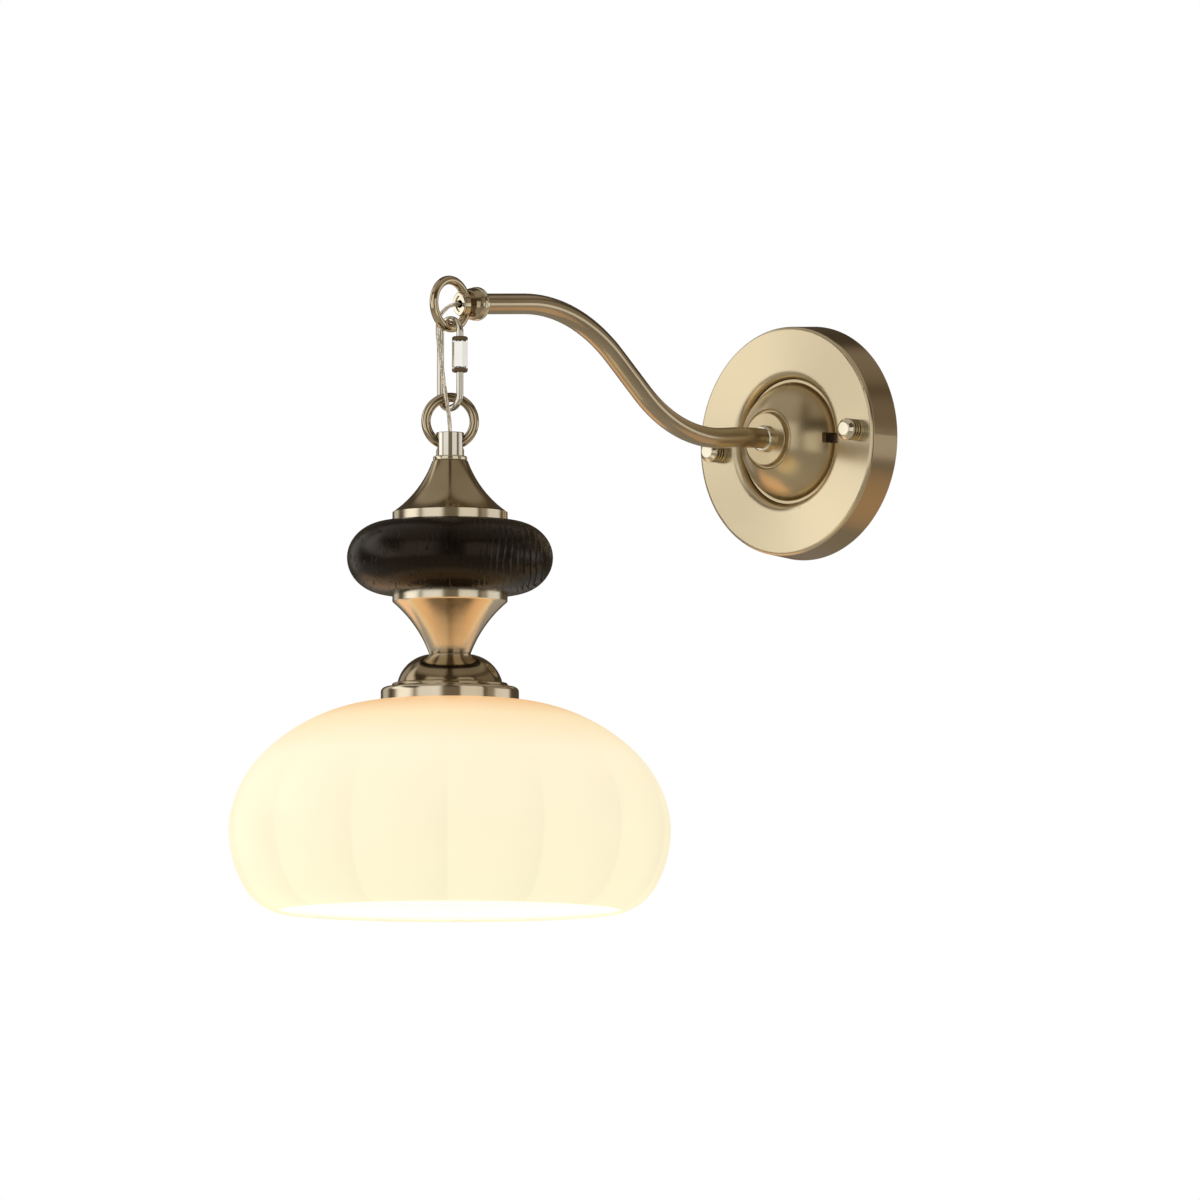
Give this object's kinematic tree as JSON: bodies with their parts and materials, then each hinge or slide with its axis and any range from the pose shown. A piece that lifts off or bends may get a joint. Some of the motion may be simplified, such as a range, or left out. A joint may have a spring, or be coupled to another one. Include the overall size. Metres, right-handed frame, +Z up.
{
  "type": "pendant wall sconce",
  "caption": "Wall sconce: a curved arm on a round wall plate holds a chain-hung pendant with a wooden bead between flared metal cones and a lit opal glass bowl shade.",
  "frame": {"origin": "centre of the wall plate's back, on the wall plane", "axes": "+Z up, -Y out from the wall into the room, +X to the right of someone facing the wall"},
  "size_m": [0.2198, 0.382, 0.3173],
  "materials": {
    "brushed_bronze": "brushed, satin lacquer",
    "satin_bronze": "satin",
    "polished_brass": "polished",
    "polished_bronze": "polished",
    "polished_steel": "polished nickel",
    "spun_bronze": "spun, polished",
    "gallery_bronze": "polished",
    "spun_gold": "spun, brushed",
    "cap_bronze": "spun, polished",
    "dark_wood": "satin lacquer on open grain",
    "clear_flex": "clear, with metal cores showing",
    "zinc_steel": "zinc plated",
    "earth_brass": "plain",
    "black_plastic": "moulded",
    "porcelain": "glazed",
    "contact_brass": "plain",
    "lamp_cap_metal": "plain",
    "lamp_glass": "opal",
    "opal_glass": "opal, lit from inside"
  },
  "bodies": {
    "wall_mount": {"wall_bracket": "zinc_steel", "plate_studs": "zinc_steel", "stud_nuts": "zinc_steel", "earth_screw": "earth_brass", "wall_plate": "brushed_bronze", "cap_nuts": "polished_brass", "arm_dome": "brushed_bronze", "clamp_strap": "zinc_steel", "clamp_washer": "zinc_steel", "clamp_nut": "zinc_steel", "arm_nipple": "zinc_steel", "base_collar": "polished_brass", "arm_tube": "satin_bronze", "bead_collar": "polished_brass", "end_barrel": "satin_bronze", "eye_ring": "polished_bronze", "wireway_ferrule": "polished_brass", "feed_flex": "clear_flex"},
    "link": {"quick_link": "polished_steel", "cord": "clear_flex"},
    "link_sleeve": {"link_nut": "polished_steel"},
    "ring": {"lower_ring": "polished_steel"},
    "pendant": {"neck": "polished_steel", "neck_washer": "polished_brass", "upper_cone": "spun_bronze", "wood_bead": "dark_wood", "lower_cone": "spun_gold", "dome_cap": "cap_bronze", "gallery": "gallery_bronze", "stem": "zinc_steel", "drop_flex": "clear_flex", "holder_cap": "black_plastic", "holder_skirt": "black_plastic", "shade_nut": "black_plastic", "holder_core": "porcelain", "screw_shell": "contact_brass", "centre_contact": "contact_brass", "lamp_cap": "lamp_cap_metal", "lamp_globe": "lamp_glass", "glass_shade": "opal_glass"}
  },
  "joints": [
    {"name": "link_swing", "type": "hinge", "parent": "wall_mount", "child": "link", "pos_m": [0, -0.27199, 0.03884], "axis": [0, 1, 0], "range_deg": [-20, 20], "deforming": ["cord"]},
    {"name": "sleeve_travel", "type": "slide", "parent": "link", "child": "link_sleeve", "axis": [0, 0, -1], "range_m": [0, 0.009]},
    {"name": "ring_swing", "type": "hinge", "parent": "link", "child": "ring", "pos_m": [0, -0.27199, -0.00799], "axis": [0.7071, -0.7071, 0], "range_deg": [-20, 20], "deforming": ["cord"]},
    {"name": "pendant_swing", "type": "hinge", "parent": "ring", "child": "pendant", "pos_m": [0, -0.27199, -0.01823], "axis": [0.7071, 0.7071, 0], "range_deg": [-20, 20], "deforming": ["cord"]}
  ]
}
